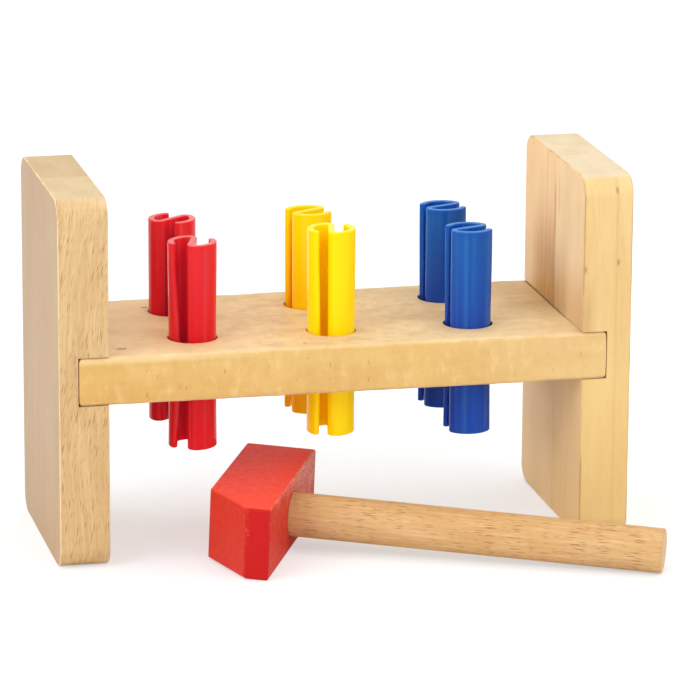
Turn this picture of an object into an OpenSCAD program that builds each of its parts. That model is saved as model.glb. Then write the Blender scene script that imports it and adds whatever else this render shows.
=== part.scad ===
// Peg pounding bench: two end panels, a plank housed between them, six sprung pegs and a hammer.
// Lengths are in millimetres and angles in degrees. X runs along the bench, Y to its back and Z up.
// The origin is on the floor, midway between the two panels and midway from front to back.

/* [Bench] */
// Length of the bench over both end panels
bench_length = 208; // [180:1:260]
// Depth of the panels and of the plank, front to back
bench_depth = 81.5; // [74:0.5:110]
// Height of an end panel
panel_height = 134; // [120:1:170]
// Thickness of an end panel
panel_thickness = 18; // [16:0.5:26]
// Width of the front stave of a panel, up to the glue line
front_stave_width = 38.7; // [25:0.1:50]
// Corner radius of a panel seen from its side
panel_corner_r = 8; // [4:0.5:16]
// Radius of the eased edges of a panel
panel_arris_r = 1; // [0.4:0.1:2]

/* [Plank] */
// Thickness of the plank
plank_thickness = 17.5; // [14:0.5:22]
// Height of the plank's underside above the floor
plank_underside = 59.8; // [50:0.1:75]
// Depth of the housing in the left panel
left_housing = 11; // [6:0.1:13]
// Depth of the housing in the right panel
right_housing = 9.2; // [6:0.1:13]
// Radius of the eased long edges of the plank
plank_arris_r = 1.2; // [0.4:0.1:2.5]
// Radius of the rounded ends of the plank seen from the front
plank_end_r = 1.5; // [0.4:0.1:4]
// Room above the plank in its housings
housing_room = 0.2; // [0.1:0.05:0.5]
// Room between an end of the plank and the bottom of its housing
end_room = 0.3; // [0.1:0.05:0.8]

/* [Peg holes] */
// Distance of the first column of holes from the left panel
left_column_margin = 33.9; // [24:0.1:38]
// Distance of the last column of holes from the right panel
right_column_margin = 36.9; // [24:0.1:40]
// Distance of the front row of holes from the plank's front edge
front_row_margin = 22.2; // [16:0.1:25]
// Distance of the back row of holes from the plank's back edge
back_row_margin = 20.6; // [16:0.1:25]
// Room all round a peg in its hole
hole_room = 0.4; // [0.3:0.05:0.8]

/* [Pegs] */
// Outer diameter of a peg
peg_diameter = 17.2; // [15:0.1:18.5]
// Length of a peg
peg_length = 75; // [65:0.5:77]
// Wall thickness of the S-shaped section
peg_wall = 2.3; // [1.6:0.1:3]
// Radius of the bend from web to ring, at the middle of the wall
peg_bend_r = 1.9; // [1.6:0.1:3]
// Clear opening between a free end of the ring and the web
peg_slot = 4; // [2:0.1:4.5]
// Chamfer round both ends of a peg
peg_chamfer = 0.7; // [0.2:0.1:1.1]

/* [Pegs as they stand] */
// Height of the front red peg over the plank
red_front_rise = 35.3; // [5:0.1:50]
// Height of the back red peg over the plank
red_back_rise = 34.8; // [5:0.1:50]
// Height of the front yellow peg over the plank
yellow_front_rise = 37.7; // [5:0.1:50]
// Height of the back yellow peg over the plank
yellow_back_rise = 35.4; // [5:0.1:50]
// Height of the front blue peg over the plank
blue_front_rise = 35.6; // [5:0.1:50]
// Height of the back blue peg over the plank
blue_back_rise = 34.9; // [5:0.1:50]
// Turn of the front red peg about its axis
red_front_turn = 72; // [0:1:359]
// Turn of the back red peg, which stands the other way up
red_back_turn = 38; // [0:1:359]
// Turn of the front yellow peg about its axis
yellow_front_turn = 78; // [0:1:359]
// Turn of the back yellow peg about its axis
yellow_back_turn = 28; // [0:1:359]
// Turn of the front blue peg about its axis
blue_front_turn = 20; // [0:1:359]
// Turn of the back blue peg about its axis
blue_back_turn = 22; // [0:1:359]

/* [Hammer] */
// Length of the hammer's head, from its striking face to its nose
head_length = 80; // [60:1:95]
// Width of the head along the handle
head_width = 26; // [20:0.5:27]
// Height of the head as it lies
head_height = 26; // [20:0.5:34]
// Width that the slope leaves at the nose
head_nose = 8.3; // [4:0.1:16]
// Length of the slope at the nose end
head_slope = 19.7; // [8:0.1:35]
// Radius of the eased edges of the head
head_edge_r = 0.8; // [0.3:0.1:2]
// Diameter of the handle
handle_diameter = 16; // [10:0.5:18]
// Length of the handle, with the part inside the head
handle_length = 152.5; // [120:0.5:190]
// Depth of the handle's bore in the head
handle_socket = 18; // [10:0.5:19]
// Room all round the handle in its bore
handle_room = 0.05; // [0.02:0.01:0.1]
// Chamfer at the free end of the handle
handle_chamfer = 0.6; // [0.2:0.1:1.5]
// Turn of the handle towards the front, from the bench's length
hammer_turn = 24; // [18:1:30]
// Gap between the lying hammer and the path of the front yellow peg
hammer_gap = 1.1; // [0.6:0.1:10]

/* [Hidden] */
$fn = 64;
head_fn = 16;
// Cuts run past the faces that they open by this much
overrun = 1;
beech = "#e2bd8c";
beech_dark = "#d3a873";
signal_red = "#cf1a20";
bright_yellow = "#f7cb05";
deep_blue = "#20489f";
head_red = "#d8392e";

panel_x = bench_length / 2 - panel_thickness / 2;
inner_face_x = bench_length / 2 - panel_thickness;
glue_line_y = front_stave_width - bench_depth / 2;
plank_top = plank_underside + plank_thickness;
plank_left_x = left_housing - end_room;
plank_right_x = right_housing - end_room;
hole_r = peg_diameter / 2 + hole_room;

// Three columns from left to right and two rows from front to back, tied to the panels and the plank
first_column_x = left_column_margin - inner_face_x;
last_column_x = inner_face_x - right_column_margin;
column_x = [first_column_x, (first_column_x + last_column_x) / 2, last_column_x];
row_y = [front_row_margin - bench_depth / 2, bench_depth / 2 - back_row_margin];

// Middle line of the S-section: web, bend, then ring up to its free end
ring_r = peg_diameter / 2 - peg_wall / 2;
bend_x = sqrt(pow(ring_r - peg_bend_r, 2) - pow(peg_bend_r, 2));
bend_angle = atan2(peg_bend_r, bend_x);
free_end_angle = 180 - asin((peg_slot + peg_wall) / ring_r);

// The hammer lies on the edge below its handle-side face and on the free end of its handle
handle_free = handle_length - handle_socket;
handle_r = handle_diameter / 2;
hammer_tilt = atan((head_height / 2 - handle_r) / handle_free);
head_lean = head_height * sin(hammer_tilt);
peg_clear_r = peg_diameter / 2 + hammer_gap;
along_handle = [cos(hammer_turn), -sin(hammer_turn)];
along_head = [sin(hammer_turn), cos(hammer_turn)];
front_yellow = hole_place(1, 0);
hammer_place = front_yellow
    - along_handle * (peg_clear_r + head_lean)
    - along_head * (peg_clear_r + handle_r);

// Middle of a hole in the plank: column 0 is at the left, row 0 at the front
function hole_place(column, row) = [column_x[column], row_y[row]];

// Rectangle with round corners, centred on the origin
module round_rectangle(width, height, radius) {
    square([width - 2 * radius, height], center = true);
    square([width, height - 2 * radius], center = true);
    for (x = [-1, 1], y = [-1, 1])
        translate([x * (width / 2 - radius), y * (height / 2 - radius)])
            circle(radius);
}

// Rim of a panel in section: flat at the left, both edges eased at the right
module rim_section(reach, thickness, radius) {
    translate([0, -thickness / 2])
        square([reach - radius, thickness]);
    translate([0, radius - thickness / 2])
        square([reach, thickness - 2 * radius]);
    for (y = [-1, 1])
        translate([reach - radius, y * (thickness / 2 - radius)])
            circle(radius);
}

// Upright panel with round corners: the rim's section runs along each side and round each corner
module eased_panel() {
    straight_y = bench_depth - 2 * panel_corner_r;
    straight_z = panel_height - 2 * panel_corner_r;
    rotate([90, 0, 90]) {
        cube([straight_y, straight_z, panel_thickness], center = true);
        for (turn = [0, 180])
            rotate([0, 0, turn]) {
                rim_run(straight_y / 2, straight_z);
                rotate([0, 0, 90])
                    rim_run(straight_z / 2, straight_y);
                rim_corner(straight_y / 2, straight_z / 2);
                mirror([0, 1, 0])
                    rim_corner(straight_y / 2, straight_z / 2);
            }
    }
}

// Straight stretch of the rim, at a distance from the panel's middle
module rim_run(distance, run) {
    translate([distance, 0, 0])
        rotate([90, 0, 0])
            linear_extrude(run, center = true)
                rim_section(panel_corner_r, panel_thickness, panel_arris_r);
}

// Quarter turn of the rim about a corner's centre
module rim_corner(x, y) {
    translate([x, y, 0])
        rotate_extrude(angle = 90)
            rim_section(panel_corner_r, panel_thickness, panel_arris_r);
}

// Half of an end panel: side is -1 at the left and 1 at the right
module stave(side, front, housing) {
    stave_width = front ? front_stave_width : bench_depth - front_stave_width;
    stave_y = front ? -bench_depth / 2 - overrun : glue_line_y;
    difference() {
        intersection() {
            translate([side * panel_x, 0, panel_height / 2])
                eased_panel();
            translate([side * panel_x - panel_thickness / 2 - overrun, stave_y, -overrun])
                cube([panel_thickness + 2 * overrun, stave_width + overrun, panel_height + 2 * overrun]);
        }
        housing_cut(side, housing);
    }
}

// Through housing for one end of the plank
module housing_cut(side, housing) {
    cut_x = side > 0 ? inner_face_x - overrun : -inner_face_x - housing;
    translate([cut_x, -bench_depth / 2 - overrun, plank_underside])
        cube([housing + overrun, bench_depth + 2 * overrun, plank_thickness + housing_room]);
}

// Slice of a disc from one angle to another, drawn out to a reach
module sector(reach, start_angle, end_angle) {
    steps = 4;
    step = (end_angle - start_angle) / steps;
    polygon([
        [0, 0],
        for (k = [0:steps]) reach * [cos(start_angle + k * step), sin(start_angle + k * step)]
    ]);
}

// Curved stretch of the peg's wall: a ring about the origin, cut to a slice
module wall_arc(middle_r, start_angle, end_angle) {
    intersection() {
        difference() {
            circle(middle_r + peg_wall / 2);
            circle(middle_r - peg_wall / 2);
        }
        sector(peg_diameter, start_angle, end_angle);
    }
}

// Ring, bend and round free end on one side of the web
module half_section() {
    wall_arc(ring_r, bend_angle, free_end_angle);
    translate([bend_x, peg_bend_r])
        wall_arc(peg_bend_r, -90, bend_angle);
    rotate(free_end_angle)
        translate([ring_r, 0])
            circle(peg_wall / 2);
}

// Sprung peg: one wall of even thickness bent into an S inside a circle, chamfered at both ends
module s_peg() {
    difference() {
        linear_extrude(peg_length) {
            square([2 * bend_x, peg_wall], center = true);
            for (turn = [0, 180])
                rotate(turn)
                    half_section();
        }
        rim_cut();
        translate([0, 0, peg_length])
            mirror([0, 0, 1])
                rim_cut();
    }
}

// Conical cut round the lower end of a peg
module rim_cut() {
    outer_r = peg_diameter / 2;
    rotate_extrude()
        polygon([
            [outer_r - peg_chamfer, 0],
            [outer_r + overrun, peg_chamfer + overrun],
            [outer_r + overrun, 0]
        ]);
}

// Peg in its hole, standing a given height over the plank
module placed_peg(column, row, rise, turn, upended = false) {
    place = hole_place(column, row);
    translate([place[0], place[1], plank_top + rise - peg_length])
        rotate([0, 0, turn])
            translate([0, 0, upended ? peg_length : 0])
                rotate([upended ? 180 : 0, 0, 0])
                    s_peg();
}

// Moves hammer parts from the middle of the head's handle-side face to where they lie
module lying_hammer() {
    translate([hammer_place[0], hammer_place[1], 0])
        rotate([0, hammer_tilt, -hammer_turn])
            translate([0, 0, head_height / 2])
                children();
}

// Outline of the head seen from above: square striking end at the back, sloped nose at the front
function head_outline() = [
    [-head_width, head_length / 2],
    [0, head_length / 2],
    [0, -head_length / 2],
    [-head_nose, -head_length / 2],
    [-head_width, head_slope - head_length / 2]
];

// Corner moved in from the outline, so that a ball there touches both sides that meet in it
function inset_corner(points, i, r) =
    let (
        count = len(points),
        here = points[i],
        ahead = points[(i + 1) % count] - here,
        behind = here - points[(i + count - 1) % count],
        inward_ahead = [ahead[1], -ahead[0]] / norm(ahead),
        inward_behind = [behind[1], -behind[0]] / norm(behind)
    )
    here + r * (inward_ahead + inward_behind) / (1 + inward_ahead * inward_behind);

module left_front_stave() {
    color(beech)
        stave(-1, true, left_housing);
}

module left_rear_stave() {
    color(beech_dark)
        stave(-1, false, left_housing);
}

module right_front_stave() {
    color(beech)
        stave(1, true, right_housing);
}

module right_rear_stave() {
    color(beech_dark)
        stave(1, false, right_housing);
}

module plank() {
    left_x = -inner_face_x - plank_left_x;
    right_x = inner_face_x + plank_right_x;
    color(beech)
        difference() {
            intersection() {
                translate([left_x, 0, plank_underside + plank_thickness / 2])
                    rotate([90, 0, 90])
                        linear_extrude(right_x - left_x)
                            round_rectangle(bench_depth, plank_thickness, plank_arris_r);
                translate([(left_x + right_x) / 2, 0, plank_underside + plank_thickness / 2])
                    rotate([90, 0, 0])
                        linear_extrude(bench_depth + 2 * overrun, center = true)
                            round_rectangle(right_x - left_x, plank_thickness, plank_end_r);
            }
            for (column = [0:2], row = [0, 1])
                translate([column_x[column], row_y[row], plank_underside - overrun])
                    cylinder(h = plank_thickness + 2 * overrun, r = hole_r);
        }
}

module red_peg_front() {
    color(signal_red)
        placed_peg(0, 0, red_front_rise, red_front_turn);
}

module red_peg_back() {
    color(signal_red)
        placed_peg(0, 1, red_back_rise, red_back_turn, upended = true);
}

module yellow_peg_front() {
    color(bright_yellow)
        placed_peg(1, 0, yellow_front_rise, yellow_front_turn);
}

module yellow_peg_back() {
    color(bright_yellow)
        placed_peg(1, 1, yellow_back_rise, yellow_back_turn);
}

module blue_peg_front() {
    color(deep_blue)
        placed_peg(2, 0, blue_front_rise, blue_front_turn);
}

module blue_peg_back() {
    color(deep_blue)
        placed_peg(2, 1, blue_back_rise, blue_back_turn);
}

module hammer_head() {
    points = head_outline();
    color(head_red)
        lying_hammer()
            difference() {
                hull()
                    for (i = [0:len(points) - 1], z = [-1, 1]) {
                        corner = inset_corner(points, i, head_edge_r);
                        translate([corner[0], corner[1], z * (head_height / 2 - head_edge_r)])
                            sphere(head_edge_r, $fn = head_fn);
                    }
                translate([-handle_socket, 0, 0])
                    rotate([0, 90, 0])
                        cylinder(h = handle_socket + overrun, r = handle_r + handle_room);
            }
}

module hammer_handle() {
    color(beech)
        lying_hammer()
            rotate([0, 90, 0]) {
                translate([0, 0, -handle_socket])
                    cylinder(h = handle_length - handle_chamfer, r = handle_r);
                translate([0, 0, handle_free - handle_chamfer])
                    cylinder(h = handle_chamfer, r1 = handle_r, r2 = handle_r - handle_chamfer);
            }
}

left_front_stave();
left_rear_stave();
right_front_stave();
right_rear_stave();
plank();
red_peg_front();
red_peg_back();
yellow_peg_front();
yellow_peg_back();
blue_peg_front();
blue_peg_back();
hammer_head();
hammer_handle();
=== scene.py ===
"""Peg pounding bench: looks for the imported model, in metres and in its frame.

X runs along the bench, Y to its back and Z up from the floor. Shapes are worked out in millimetres as
whole numpy arrays and put into their meshes in metres. Grain, flecks, paint and plastic are procedural.
"""

import bpy
import numpy as np
from mathutils import Matrix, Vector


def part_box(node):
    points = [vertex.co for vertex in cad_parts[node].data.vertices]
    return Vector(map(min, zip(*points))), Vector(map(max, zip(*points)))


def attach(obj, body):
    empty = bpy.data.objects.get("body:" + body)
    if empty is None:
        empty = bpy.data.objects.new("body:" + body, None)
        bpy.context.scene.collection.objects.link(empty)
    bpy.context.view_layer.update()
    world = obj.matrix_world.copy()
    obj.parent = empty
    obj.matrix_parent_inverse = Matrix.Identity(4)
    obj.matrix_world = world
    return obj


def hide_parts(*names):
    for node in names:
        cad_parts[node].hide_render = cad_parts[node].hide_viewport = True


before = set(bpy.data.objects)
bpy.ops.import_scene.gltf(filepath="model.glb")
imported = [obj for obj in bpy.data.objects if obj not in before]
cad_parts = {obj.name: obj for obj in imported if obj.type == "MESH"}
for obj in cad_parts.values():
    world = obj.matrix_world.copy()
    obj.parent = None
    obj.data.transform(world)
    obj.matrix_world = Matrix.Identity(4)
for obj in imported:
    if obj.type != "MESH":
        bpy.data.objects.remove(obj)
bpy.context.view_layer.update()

MM = 0.001

# Camera of the photograph, fitted to the bench's edges: place in millimetres, turns in radians
CAMERA_PLACE = (-351.342, -1570.863, 492.527)
CAMERA_YAW, CAMERA_PITCH, CAMERA_ROLL = 0.2260, 0.2596, 0.0064
CAMERA_FOCAL_PX, FRAME_PX, SENSOR_MM = 4584.02, 700, 36.0

# Panels and plank, millimetres: radii of corners and eased edges, the housings' room, the holes' radius,
# and half the side of the square of grid lines about a hole
PANEL_CORNER, PANEL_ARRIS, PLANK_ARRIS, PLANK_END_R = 8.0, 0.6, 1.2, 1.5
HOUSING_ROOM, HOLE_R, HOLE_SQUARE = 0.2, 9.0, 11.0
# Panel mesh: rows across its corner, from the edge, and on to the glue line; steps along its outer face, an end,
# an inner face and into the housing
CORNER_ROWS, FLAT_ROWS = (1.5, 2.1, 2.9, 3.9, 5.1, 6.5), 10
OUTER_STEPS, END_STEPS, INNER_STEPS, HOUSING_STEPS = 40, 8, 14, 6
# Plank: its grid away from the holes, steps along a hole's square and rings in it, steps round an edge
GRID_STEP, HOLE_STEPS, HOLE_RINGS, PLANK_STEPS = 4.0, 12, 5, 8
# Hand sanding: how far it draws in the panels' arris and the plank's, and how soon it fades from each
PANEL_SANDED, PLANK_SANDED, PANEL_FADE, PLANK_FADE = 0.28, 0.55, 1.2, 1.1
# Plank ends: rows across their rounding, the bow of the right one and the share of the rounding that it keeps
PLANK_END_ROWS, PLANK_BOW, RIGHT_END_SHARE = (0.0, 0.06, 0.2, 0.45, 0.72), 0.16, 0.4
# Edges that bend more than this, in degrees, stay sharp on the boards
BOARD_CREASE = 40

# Sprung peg, millimetres and degrees
PEG_R, PEG_WALL, PEG_BEND_R, PEG_RIM = 8.6, 2.3, 1.9, 0.45
# Spread of the free ends where the wall is relaxed, their pinch in the plank, and the way from one to the other
PEG_SPREAD, PEG_PINCH, PEG_FREE_RUN = 0.25, 0.3, 36.0
# Steps along the web, bend, ring and round end of the S, and up the peg
WEB_STEPS, BEND_STEPS, RING_STEPS, CAP_STEPS, PEG_STEPS = 12, 16, 56, 14, 26
# Each peg's turn, whether it stands upended, its slot at the ends, and how much narrower that is in the plank
PEGS = {
    "red_peg_front": (72, False, 4.0, 1.3), "red_peg_back": (38, True, 4.0, 1.3),
    "yellow_peg_front": (78, False, 3.0, 0.2), "yellow_peg_back": (28, False, 4.0, 1.0),
    "blue_peg_front": (20, False, 3.6, 0.7), "blue_peg_back": (22, False, 3.6, 0.7),
}
# Heights in metres from which and down to which a peg's tone passes into the deeper one of its foot, painted shade
PEG_PALE_Z, PEG_FOOT_Z = 0.112, 0.07

# Hammer, millimetres and degrees
HEAD_L, HEAD_W, HEAD_H, HEAD_NOSE, HEAD_SLOPE, HEAD_EDGE = 80.0, 26.0, 26.0, 8.3, 19.7, 0.9
HANDLE_R, HANDLE_FREE, HANDLE_SOCKET, HANDLE_EDGE = 8.0, 134.5, 18.0, 0.8
HAMMER_TURN, HAMMER_GAP = 24.0, 1.1
# Its meshes: step round the head's outline, rings on its flat faces and rows; steps along and round the handle
HEAD_STEP, HEAD_RINGS, HEAD_ROWS, HANDLE_STEPS, HANDLE_SIDES = 0.8, 14, 30, 90, 96

# Steps round an eased edge
EDGE_STEPS = 7

# Figure of the wood: repeats in a metre along the grain, through the rays' depth and across their thickness
SWAY, BANDS, LINES, FIBRES = (11, 6, 8), (16, 60, 90), (14, 300, 620), (110, 2400, 3200)
CROWD, GRAIN, CLOUD, FLAKE = (45, 80, 110), (55, 200, 900), (170, 170, 170), (240, 120, 40)
LONG_RAY, SHORT_RAY, TICK = (95, 1300, 0), (210, 2100, 0), (500, 150, 0)
# Turns that bring the grain to X: up on the panels, along the bench on the plank
GRAIN_UP, GRAIN_ALONG = (0.0, np.pi / 2, 0.0), (np.pi / 2, 0.0, 0.0)
# Axes of the grain on a stave and on the plank
UP, BACK, LEFT = 0, 1, 2
ALONG, DOWN, DEEP = 0, 1, 2

# Colours are linear red, green and blue. Wood: flecks, stains and marks, the lights and darks of its figure
FLECK, HEART = (0.34, 0.145, 0.035), (0.5, 0.25, 0.08)
RED_LINE, PITH = (0.42, 0.13, 0.07), (0.15, 0.07, 0.025)
PALE, INNER, WARM = (0.95, 0.74, 0.42), (0.82, 0.57, 0.33), (0.52, 0.235, 0.045)
BROWN_FOOT, YELLOW_FOOT = (0.52, 0.28, 0.105), (0.84, 0.57, 0.19)
LIGHT_GRAIN, LIGHT_CLOUD, DARK_CLOUD = (0.92, 0.68, 0.38), (0.95, 0.73, 0.42), (0.6, 0.37, 0.17)
LIGHT_FLAKE, DARK_FLAKE = (0.95, 0.72, 0.38), (0.56, 0.3, 0.085)
# Eased edges: their colour, and its least and greatest strength; the left staves' pale one is wear and painted
# highlight
PALE_ARRIS, BROWN_ARRIS = ((0.93, 0.72, 0.42), 0.3, 0.7), ((0.5, 0.27, 0.1), 0.1, 0.8)
PLANK_EDGE, NO_ARRIS = ((0.8, 0.55, 0.25), 0.0, 0.5), (FLECK, 0.0, 0.0)

# Red paint: two tones of the coat and lighter ones of the top, painted light; then single colours, the last a painted
# glow
COAT = (0.64, 0.036, 0.019), (0.6, 0.031, 0.017)
COAT_TOP = (0.95, 0.074, 0.043), (0.9, 0.066, 0.038)
NOSE_RED, PIT = (0.52, 0.002, 0.003), (0.3, 0.008, 0.006)
BARE, DIRT = (0.8, 0.36, 0.28), (0.22, 0.03, 0.02)
CHIP, BORE_RING, PAINT_GLOW = (0.85, 0.34, 0.22), (0.12, 0.012, 0.008), (0.05, 0.003, 0.002)

# Stage: light of the world; the floor's half side in metres, its grey as a reflector and as seen, its glow as seen
SKY_LIGHT, FLOOR_REACH, FLOOR_LIT, FLOOR_SEEN, FLOOR_GLOW = 0.72, 4.0, (0.86, 0.86, 0.86), (0.53, 0.55, 0.56), 0.5


# Arrays and meshes

def grid_faces(rows, columns):
    """Quads of a grid of points stored row after row, its last column joined to the first."""
    i, j = np.meshgrid(np.arange(rows - 1), np.arange(columns), indexing="ij")
    k = (j + 1) % columns
    quads = np.stack([i * columns + j, i * columns + k, (i + 1) * columns + k, (i + 1) * columns + j], -1)
    return quads.reshape(-1, 4)


def closed_grid(rows, columns, flip=False):
    """Quads of a closed grid with faces over its first and last row; a flip turns all of them over."""
    loop = np.arange(columns)
    faces = grid_faces(rows, columns).tolist() + [loop[::-1].tolist(), (loop + (rows - 1) * columns).tolist()]
    return [face[::-1] for face in faces] if flip else faces


def lattice_noise(points, size, seed):
    """Smooth noise from -1 to 1: random values on a cubic lattice of that spacing, blended trilinearly."""
    cells = 32
    table = np.random.default_rng(seed).uniform(-1, 1, (cells, cells, cells))
    q = points / size
    base = np.floor(q).astype(int)
    f = q - base
    f = f * f * (3 - 2 * f)
    total = np.zeros(len(points))
    for dx, dy, dz in np.ndindex(2, 2, 2):
        corner = table[(base[:, 0] + dx) % cells, (base[:, 1] + dy) % cells, (base[:, 2] + dz) % cells]
        weight = np.abs(1 - dx - f[:, 0]) * np.abs(1 - dy - f[:, 1]) * np.abs(1 - dz - f[:, 2])
        total += corner * weight
    return total


def make_piece(name, points, faces, node, body, material, attributes=None, crease=None):
    """Puts points in millimetres and faces into a smooth mesh at the origin that stands for a CAD node.

    With a crease, in degrees, edges that bend more stay sharp and large flat faces keep their normals.
    """
    mesh = bpy.data.meshes.new(name)
    mesh.from_pydata((points * MM).tolist(), [], faces)
    mesh.polygons.foreach_set("use_smooth", np.ones(len(mesh.polygons), bool))
    for key, values in (attributes or {}).items():
        layer = mesh.attributes.new(key, "FLOAT", "POINT")
        layer.data.foreach_set("value", values.astype(np.float32))
    mesh.update()
    piece = bpy.data.objects.new(name, mesh)
    bpy.context.scene.collection.objects.link(piece)
    mesh.materials.append(material)
    if crease:
        mesh.set_sharp_from_angle(angle=np.radians(crease))
        weighted = piece.modifiers.new("flat_faces", "WEIGHTED_NORMAL")
        weighted.keep_sharp = True
    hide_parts(node)
    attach(piece, body)


# Node trees

def add(tree, kind, inputs=None, **settings):
    """Outputs of a new shader node; an input given as a socket is linked, any other value is set on it."""
    shader_node = tree.nodes.new("ShaderNode" + kind)
    for key, value in settings.items():
        setattr(shader_node, key, value)
    for key, value in (inputs or {}).items():
        socket = shader_node.inputs[key]
        if isinstance(value, bpy.types.NodeSocket):
            tree.links.new(value, socket)
        else:
            socket.default_value = (*value, 1.0) if socket.type == "RGBA" else value
    return shader_node.outputs


def new_material(name):
    """New material with an empty node tree; returns both."""
    material = bpy.data.materials.new(name)
    material.use_nodes = True
    material.node_tree.nodes.clear()
    return material, material.node_tree


def calc(tree, operation, a, b=0.5, clamp=False):
    """Value of an operation on two numbers."""
    return add(tree, "Math", {0: a, 1: b}, operation=operation, use_clamp=clamp)[0]


def times(tree, a, b):
    """Product of two numbers."""
    return calc(tree, "MULTIPLY", a, b)


def parts(tree, vector):
    """The three numbers of a vector."""
    return add(tree, "SeparateXYZ", {"Vector": vector})


def mark(tree, name):
    """A mesh's own number at a point."""
    return add(tree, "Attribute", attribute_name=name)["Fac"]


def remap(tree, value, low, high, to_low=0.0, to_high=1.0):
    """Smooth step of a value from low..high to to_low..to_high."""
    return add(tree, "MapRange", {
        "Value": value, "From Min": low, "From Max": high, "To Min": to_low, "To Max": to_high,
    }, interpolation_type="SMOOTHSTEP")[0]


def tint(tree, factor, a, b):
    """Mix of two colours, which are the node's sockets 6 and 7."""
    return add(tree, "Mix", {0: factor, 6: a, 7: b}, data_type="RGBA")[2]


def over(tree, colour, amount, weight, tone):
    """Tone laid over a colour by the product of an amount and a weight."""
    return tint(tree, calc(tree, "MULTIPLY", amount, weight, clamp=True), colour, tone)


def surface(tree, inputs):
    """Closes a material with a principled surface."""
    shader = add(tree, "BsdfPrincipled", inputs)
    add(tree, "OutputMaterial", {"Surface": shader[0]})


def noise(tree, vector, detail, roughness=0.55, scale=1.0):
    """Noise value at a vector."""
    return add(tree, "TexNoise", {
        "Vector": vector, "Scale": scale, "Detail": detail, "Roughness": roughness,
    })["Fac"]


def grain_frame(tree, turn):
    """Object coordinates and absolute normal, turned: X the grain, Y the rays' depth, Z their thickness."""
    sight = add(tree, "TexCoord")
    place = add(tree, "Mapping", {"Vector": sight["Object"], "Rotation": turn})[0]
    normal = add(tree, "Mapping", {"Vector": sight["Normal"], "Rotation": turn}, vector_type="VECTOR")
    facing = add(tree, "VectorMath", {0: normal[0]}, operation="ABSOLUTE")[0]
    return place, parts(tree, facing)


def scaled(tree, place, scale, shift):
    """Grain coordinates scaled per axis and shifted, so that each board has its own figure."""
    return add(tree, "Mapping", {"Vector": place, "Scale": scale, "Location": shift})[0]


def spindles(tree, place, thin, thick, few, many):
    """Spindles of random width, one to a cell of a flat Voronoi field; few to many sets how many show."""
    cells = add(tree, "TexVoronoi", {"Vector": place, "Scale": 1.0}, voronoi_dimensions="2D")
    pick = add(tree, "SeparateColor", {"Color": cells["Color"]})
    width = remap(tree, pick[1], 0.0, 1.0, thin, thick)
    core = remap(tree, calc(tree, "DIVIDE", cells["Distance"], width), 0.3, 1.0, 1.0, 0.0)
    return times(tree, core, remap(tree, pick[0], few, many))


def wash(tree, colour, place, wash_tone, strength, limits):
    """Tone over a colour: the product of smooth steps along the grain's axes, each from a start to a full place."""
    axes = parts(tree, place)
    amount = strength
    for axis, start, full in limits:
        amount = times(tree, remap(tree, axes[axis], start * MM, full * MM), amount)
    return tint(tree, amount, colour, wash_tone)


def band(axis, low, high, fade):
    """Limits of a wash between two places along an axis, with borders that fade inside them."""
    return (axis, low, low + fade), (axis, high, high - fade)


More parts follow.
